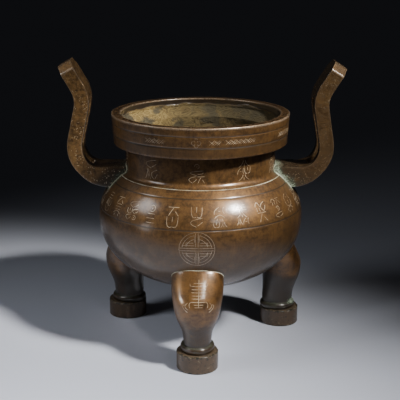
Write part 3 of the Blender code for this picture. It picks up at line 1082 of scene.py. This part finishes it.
class Finish:
    """A material built from shader nodes, with its places in millimetres from the vessel's axis."""

    def __init__(self, name):
        self.material = bpy.data.materials.new(name)
        self.material.use_nodes = True
        self.tree = self.material.node_tree
        self.tree.nodes.clear()
        metres = self.node("ShaderNodeTexCoord", output="Object")
        self.place = self.node("ShaderNodeVectorMath", {"operation": "SCALE"}, {0: metres, "Scale": 1.0 / MM})

    def node(self, kind, settings=None, sockets=None, output=0):
        made = self.tree.nodes.new(kind)
        for name, value in (settings or {}).items():
            setattr(made, name, value)
        for name, value in (sockets or {}).items():
            if isinstance(value, Field):
                self.tree.links.new(value.socket, made.inputs[name])
            else:
                made.inputs[name].default_value = value
        return Field(self, made.outputs[output] if made.outputs else None)

    def noise(self, size, detail=4.0, roughness=0.55, place=None, distortion=0.0):
        """Noise from 0 to 1 with features of about that size in millimetres."""
        sockets = {
            "Vector": place or self.place,
            "Scale": 1.0 / size,
            "Detail": detail,
            "Roughness": roughness,
            "Distortion": distortion,
        }
        return self.node("ShaderNodeTexNoise", {}, sockets)

    def stretched(self, x, y, z):
        """The place with each axis multiplied."""
        return self.node("ShaderNodeVectorMath", {"operation": "MULTIPLY"}, {0: self.place, 1: (x, y, z)})

    def rise(self, value, low, high):
        """0 at low, 1 at high, soft between."""
        sockets = {"Value": value, "From Min": low, "From Max": high}
        return self.node("ShaderNodeMapRange", {"interpolation_type": "SMOOTHSTEP"}, sockets)

    def mask(self, name):
        return self.node("ShaderNodeAttribute", {"attribute_name": name}, output="Fac")

    def mix(self, amount, first, second):
        sockets = {0: amount, 6: colour(first), 7: colour(second)}
        return self.node("ShaderNodeMix", {"data_type": "RGBA"}, sockets, output=2)

    def specks(self, size, reach):
        """Small round specks, 1 at their middle."""
        sockets = {"Vector": self.place, "Scale": 1.0 / size, "Randomness": 1.0}
        return self.rise(self.node("ShaderNodeTexVoronoi", {}, sockets), reach, 0.0)

    def bump(self, height, depth):
        """A bump of that depth in millimetres."""
        return self.node("ShaderNodeBump", {}, {"Height": height, "Distance": depth * MM}, output="Normal")

    def surface(self, sockets):
        shader = self.node("ShaderNodeBsdfPrincipled", {}, sockets)
        self.node("ShaderNodeOutputMaterial", {}, {"Surface": shader})
        return self.material


def colour(value):
    return value if isinstance(value, Field) else (*value, 1.0)


VERDIGRIS = (0.3, 0.36, 0.27)
GREEN_VEIL = (0.05, 0.068, 0.045)
DEEP_GREEN = (0.016, 0.019, 0.012)
# Soot black, also the tint of the painted shade in the grime.
SOOT_AND_SHADE = (0.02, 0.0125, 0.006)
DRUM_BROWN = (0.085, 0.055, 0.03)
CHALK = (0.26, 0.22, 0.14)
# Pale rubbed metal on worn edges, also a painted highlight on one handle's edge.
RUBBED_METAL_AND_GLINT = (0.62, 0.52, 0.4)
GOLDEN_SPECK = (0.75, 0.6, 0.4)
# The deep, the main and the warm tone of each patina
BOWL_TONES = ((0.055, 0.0275, 0.0095), (0.142, 0.073, 0.0235), (0.21, 0.105, 0.03))
LEG_TONES = ((0.036, 0.018, 0.0065), (0.105, 0.052, 0.0165), (0.19, 0.091, 0.024))
# The handles' tones are a lighter copy of the bowl's: painted light where the lamps reach the handles little.
HANDLE_TONES_WITH_PAINTED_LIGHT = ((0.066, 0.036, 0.014), (0.225, 0.125, 0.045), (0.32, 0.175, 0.06))


def burnt_ash(finish):
    """Tan ash burnt on in curled layers, blue-grey in patches, with dark cracks and a painted shadow behind
    and to the right. Gives tone and relief.
    """
    layers = finish.noise(15.0, 2.0, 0.45, finish.stretched(0.8, 0.8, 1.5), 1.6)
    fine = finish.noise(1.6, 4.0, 0.6)
    folds = finish.node("ShaderNodeMath", {"operation": "PINGPONG"}, {0: layers * 8.0 + fine * 0.35, 1: 0.5})
    cracks = finish.rise(folds, 0.1, 0.0) * finish.rise(finish.noise(10.0, 2.0), 0.42, 0.6)
    patches = finish.noise(22.0, 3.0, 0.5, distortion=0.6)
    tone = finish.mix(finish.rise(folds, 0.05, 0.45), (0.19, 0.128, 0.045), (0.31, 0.225, 0.088))
    for amount, tint in (
        (finish.rise(layers, 0.5, 0.68) * 0.4, (0.17, 0.115, 0.045)),
        (finish.rise(patches, 0.49, 0.58) * 0.85, (0.06, 0.056, 0.042)),
        (finish.rise(fine, 0.56, 0.72) * 0.25, (0.08, 0.055, 0.026)),
        # Painted shadow on the ash behind and to the right.
        (finish.mask("soot") * 0.88, (0.056, 0.045, 0.023)),
        (cracks * 0.75, (0.035, 0.024, 0.012)),
    ):
        tone = finish.mix(amount, tone, tint)
    return tone, finish.rise(folds, 0.0, 0.5) * 0.8 - cracks + fine * 0.3


def bronze(name, tones, gloss, ashes=False):
    """Bronze under an old brown patina, with its grime, corrosion, wear and pits, and the painted shade and
    painted highlight that its masks carry.
    """
    finish = Finish(name)
    deep, body, warm = tones
    broad = finish.noise(42.0, 3.0, 0.5)
    mottle = finish.noise(3.6, 7.0, 0.68)
    clouds = finish.noise(14.0, 5.0, 0.6, distortion=0.6)
    grit = finish.noise(0.7, 3.0, 0.6)
    fine = finish.noise(1.3, 6.0, 0.7)
    turning = finish.noise(2.6, 3.0, 0.6, finish.stretched(0.06, 0.06, 1.6))
    upright = finish.noise(1.2, 2.0, 0.5, finish.stretched(1.0, 1.0, 0.05))
    tone = finish.mix(finish.rise(mottle, 0.34, 0.66), deep, body)
    # A pattern, where it sets in and where it is full, how strong it is, and its tint
    for pattern, low, high, amount, tint in (
        (clouds, 0.42, 0.7, 0.5, warm),
        (broad, 0.5, 0.72, 0.4, deep),
        (grit, 0.54, 0.7, 0.6, deep),
        (turning, 0.5, 0.75, 0.25, warm),
        (upright, 0.5, 0.72, 0.35, deep),
    ):
        tone = finish.mix(finish.rise(pattern, low, high) * amount, tone, tint)

    wear, edge, drum = (finish.mask(name) for name in ("wear", "edge", "drum"))
    chips = finish.noise(2.4, 6.0, 0.7)
    chalk = finish.rise(chips + edge * 0.1, 0.61, 0.7) * drum
    # Rubbed worn edges, and a painted highlight on one handle's edge.
    worn = edge * finish.rise(fine, 0.3, 0.6) * (1.0 - drum)
    # The grime mask carries dirt and painted shade.
    grime = finish.rise(finish.mask("grime") + (mottle - 0.5) * 0.9, 0.28, 0.78)
    green = finish.mask("verdigris")
    veil = finish.rise(green + (mottle - 0.5) * 1.1, 0.3, 0.85)
    powder = finish.rise(green + (fine - 0.5) * 2.4, 0.75, 1.15)
    pitted = finish.mask("pitted")
    pits = finish.specks(1.9, 0.32) * finish.rise(finish.noise(7.0, 2.0), 0.42, 0.56) * pitted
    bright = finish.specks(1.7, 0.36) * finish.rise(finish.noise(9.0, 3.0), 0.46, 0.56) * pitted
    for amount, tint in (
        (wear * finish.rise(clouds, 0.3, 0.65) * 0.75, warm),
        (drum * 0.8, DRUM_BROWN),
        (finish.rise(chips - edge * 0.1, 0.45, 0.33) * drum, DEEP_GREEN),
        (chalk * 0.75, CHALK),
        (worn * 0.8, RUBBED_METAL_AND_GLINT),
        # Grime and painted shade, tinted soot black and deep green.
        (grime * 0.9, finish.mix(finish.rise(clouds, 0.5, 0.7), SOOT_AND_SHADE, DEEP_GREEN)),
        (veil * 0.6, GREEN_VEIL),
        (powder * 0.9, VERDIGRIS),
        (pits * 0.7, SOOT_AND_SHADE),
        (bright, GOLDEN_SPECK),
    ):
        tone = finish.mix(amount, tone, tint)

    dull = grime * 0.1 + veil * 0.3 + powder * 0.3 + drum * 0.22 + chalk * 0.2
    relief = mottle * 0.25 + fine * 0.2 + grit * 0.12 + powder * 0.6 - pits * 1.4 + chalk * 0.4
    metal = 0.62 - 0.55 * finish.rise(veil + grime * 0.6 + drum * 0.4, 0.1, 0.9)
    if ashes:
        covered = finish.mask("crust")
        ash, ash_relief = burnt_ash(finish)
        tone = finish.mix(covered, tone, ash)
        relief = relief + covered * ash_relief * 3.0
        dull = dull + covered * 0.5
        metal = metal * (1.0 - covered)
    return finish.surface({
        "Base Color": tone,
        "Metallic": metal,
        "Roughness": gloss + (mottle - 0.5) * 0.2 + finish.rise(clouds, 0.7, 0.3) * 0.05 + dull,
        "IOR": 1.4,
        "Coat Weight": 0.9 - 0.9 * finish.rise(dull, 0.1, 0.6),
        "Coat Roughness": 0.21,
        "Normal": finish.bump(relief, 0.11),
    })


def silver(name, clean, tarnish, faded):
    """Old hammered silver wire, tarnished in patches."""
    finish = Finish(name)
    patches = finish.noise(9.0, 4.0, 0.6)
    fine = finish.noise(1.6, 4.0, 0.6)
    lost = finish.rise(patches + (fine - 0.5) * 0.4, 0.62 - faded, 0.36 - faded)
    tone = finish.mix(finish.rise(fine, 0.35, 0.65), clean, tuple(0.75 * c for c in clean))
    tone = finish.mix(lost * 0.85, tone, tarnish)
    return finish.surface({
        "Base Color": tone,
        "Metallic": 0.35 - lost * 0.2,
        "Roughness": 0.45 + lost * 0.15,
        "Normal": finish.bump(fine, 0.05),
    })


def corrosion():
    """Pale green-white corrosion."""
    finish = Finish("joint_corrosion")
    patches = finish.noise(7.0, 4.0, 0.6)
    fine = finish.noise(1.0, 5.0, 0.65)
    tone = finish.mix(finish.rise(patches, 0.38, 0.62), (0.42, 0.37, 0.25), (0.5, 0.5, 0.4))
    tone = finish.mix(finish.rise(fine, 0.56, 0.7), tone, (0.16, 0.15, 0.1))
    return finish.surface({
        "Base Color": tone,
        "Metallic": 0.0,
        "Roughness": 0.7,
        "Normal": finish.bump(fine, 0.2),
    })


def floor_finish():
    """Pale paper, with painted shade darkening it where it comes forward of the picture."""
    finish = Finish("pale_floor")
    tone = finish.mix(finish.noise(900.0, 2.0, 0.5), (0.54, 0.57, 0.66), (0.57, 0.6, 0.69))
    forwards = finish.node("ShaderNodeSeparateXYZ", {}, {0: finish.place}, output="Y")
    # Painted shade: the paper darkens in front of the vessel.
    tone = finish.mix(finish.rise(forwards, -160.0, -400.0), tone, (0.14, 0.145, 0.16))
    return finish.surface({"Base Color": tone, "Roughness": 0.75})


# Stage

def make_floor():
    """The flat paper under the vessel."""
    corners = [(x * FLOOR_REACH, y * FLOOR_REACH, 0.0) for x, y in ((-1, -1), (1, -1), (1, 1), (-1, 1))]
    floor = make_piece("floor", corners, [(0, 1, 2, 3)], floor_finish())


def soft_light(name, place, aim, size, spread, power, tint):
    """A square soft box with a grid, aimed from a place at a point."""
    lamp = bpy.data.lights.new(name, "AREA")
    lamp.shape = "SQUARE"
    lamp.size = size * MM
    lamp.energy = power
    lamp.spread = math.radians(spread)
    lamp.color = tint
    box = bpy.data.objects.new(name, lamp)
    box.location = AXIS + Vector(place) * MM
    box.rotation_mode = "QUATERNION"
    box.rotation_quaternion = (Vector(place) - Vector(aim)).to_track_quat("Z", "Y")
    bpy.context.scene.collection.objects.link(box)


WARM, WARMER = (1.0, 0.98, 0.95), (1.0, 0.97, 0.93)
COOL, BLUISH = (0.95, 0.97, 1.0), (0.92, 0.92, 1.0)
KEY_PLACE = (686.0, -569.0, 1030.0)
# Each soft box: name, place, aim, size, spread in degrees, power in watts, tint
LIGHTS = (
    ("key_light", KEY_PLACE, (-153.0, -241.0, 0.0), 150.0, 40.2, 1.95, WARM),
    ("upper_key_light", KEY_PLACE, (18.0, -20.0, 192.0), 150.0, 12.4, 0.178, WARMER),
    ("left_light", (-545.0, -175.0, 537.0), (-48.0, -105.0, 0.0), 230.0, 87.8, 0.37, COOL),
    ("left_card_light", (-760.0, 90.0, 190.0), (0.0, 0.0, 150.0), 420.0, 40.0, 0.01, BLUISH),
    ("leg_left_strip", (-545.0, -350.0, 150.0), (0.0, -103.0, 72.0), 60.0, 16.0, 0.015, COOL),
    ("leg_right_strip", (178.0, -585.0, 415.0), (0.0, -100.0, 84.0), 60.0, 10.0, 0.0055, WARM),
)


def make_lights():
    """The soft boxes, and a very dim studio round them."""
    for light in LIGHTS:
        soft_light(*light)
    world = bpy.data.worlds.new("studio")
    world.use_nodes = True
    sky = world.node_tree.nodes["Background"]
    sky.inputs["Color"].default_value = (1.0, 1.0, 1.05, 1.0)
    sky.inputs["Strength"].default_value = 0.01
    bpy.context.scene.world = world


FLOOR_REACH = 6000.0
CAMERA_DISTANCE = 900.0
CAMERA_HEIGHT = 380.1
CAMERA_OFFSET = -0.42
CAMERA_DIP = 15.41
CAMERA_LENS = 88.78


def make_camera():
    """A camera in front of the vessel, looking down on it a little."""
    view = bpy.data.cameras.new("camera")
    view.lens = CAMERA_LENS
    view.sensor_width = 36.0
    view.clip_start = 0.05
    camera = bpy.data.objects.new("camera", view)
    camera.location = AXIS + Vector((CAMERA_OFFSET, -CAMERA_DISTANCE, CAMERA_HEIGHT)) * MM
    camera.rotation_euler = (math.radians(90.0 - CAMERA_DIP), 0.0, 0.0)
    bpy.context.scene.collection.objects.link(camera)
    bpy.context.scene.camera = camera


def build():
    """The stage and every piece, hiding the imported solid that each piece stands for."""
    make_camera()
    make_lights()
    make_floor()
    bowl = make_bowl(bronze("bowl_patina", BOWL_TONES, 0.49, ashes=True))
    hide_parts("bowl")
    pieces = [bowl]
    leg_finish = bronze("leg_patina", LEG_TONES, 0.44)
    for leg in LEGS:
        piece = make_leg(leg, leg_finish, 1.0 if leg.name == "rear_right_leg" else 0.0)
        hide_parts(leg.name)
        pieces.append(piece)
    handle_finish = bronze("handle_patina_with_painted_light", HANDLE_TONES_WITH_PAINTED_LIGHT, 0.48)
    for name, side in (("left_handle", -1), ("right_handle", 1)):
        piece = make_handle(name, side, handle_finish)
        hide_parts(name)
        pieces.append(piece)
    bright = silver("silver_wire", (0.56, 0.45, 0.31), (0.15, 0.095, 0.05), 0.0)
    dim = silver("faded_silver_wire", (0.32, 0.25, 0.18), (0.1, 0.065, 0.035), 0.04)
    for piece in make_inlay(bright, dim):
        pieces.append(piece)
    pieces.append(make_joint_filling(corrosion()))
    for piece in pieces:
        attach(piece, "root")


build()
